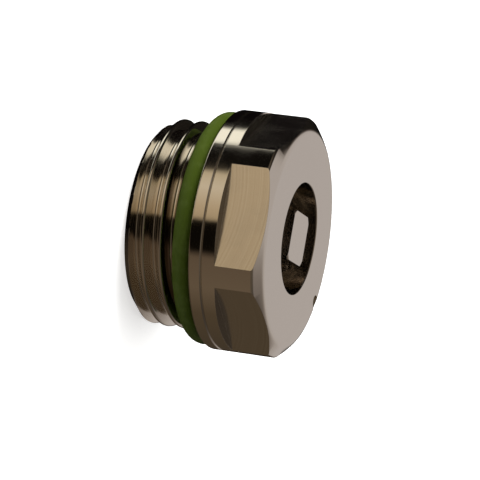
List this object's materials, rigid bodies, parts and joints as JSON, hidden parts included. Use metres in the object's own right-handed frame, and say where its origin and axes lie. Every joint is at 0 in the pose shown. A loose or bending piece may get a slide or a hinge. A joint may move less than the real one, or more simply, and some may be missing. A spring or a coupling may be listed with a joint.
{
  "type": "air vent plug",
  "caption": "Screw-in radiator air vent plug with a hexagon head, a flange sealing ring, a parallel pipe thread and a square-ended bleed screw.",
  "frame": {"origin": "centre of the end face of the threaded end, which the plug stands on", "axes": "+Z along the plug's axis from the threaded end to the front face of the head; +X towards the vent hole"},
  "size_m": [0.0242, 0.0242, 0.0151],
  "materials": {
    "nickel_plate": "satin",
    "green_rubber": "matte",
    "black_rubber": "matte"
  },
  "bodies": {
    "root": {"plug_body": "nickel_plate", "flange_seal_ring": "green_rubber"},
    "spindle_ring": {"spindle_seal_ring": "black_rubber"},
    "bleed_screw": {"bleed_screw": "nickel_plate"}
  },
  "joints": [
    {"name": "screw_rise", "type": "slide", "parent": "root", "child": "spindle_ring", "axis": [0, 0, 1], "range_m": [0, 0.00112]},
    {"name": "screw_turn", "type": "hinge", "parent": "spindle_ring", "child": "bleed_screw", "pos_m": [0, 0, 0.0087], "axis": [0, 0, 1], "range_deg": [0, 540.1]}
  ],
  "couplings": [
    {"joint": "screw_turn", "follows": "screw_rise", "rad_per_m": 8377.6}
  ]
}
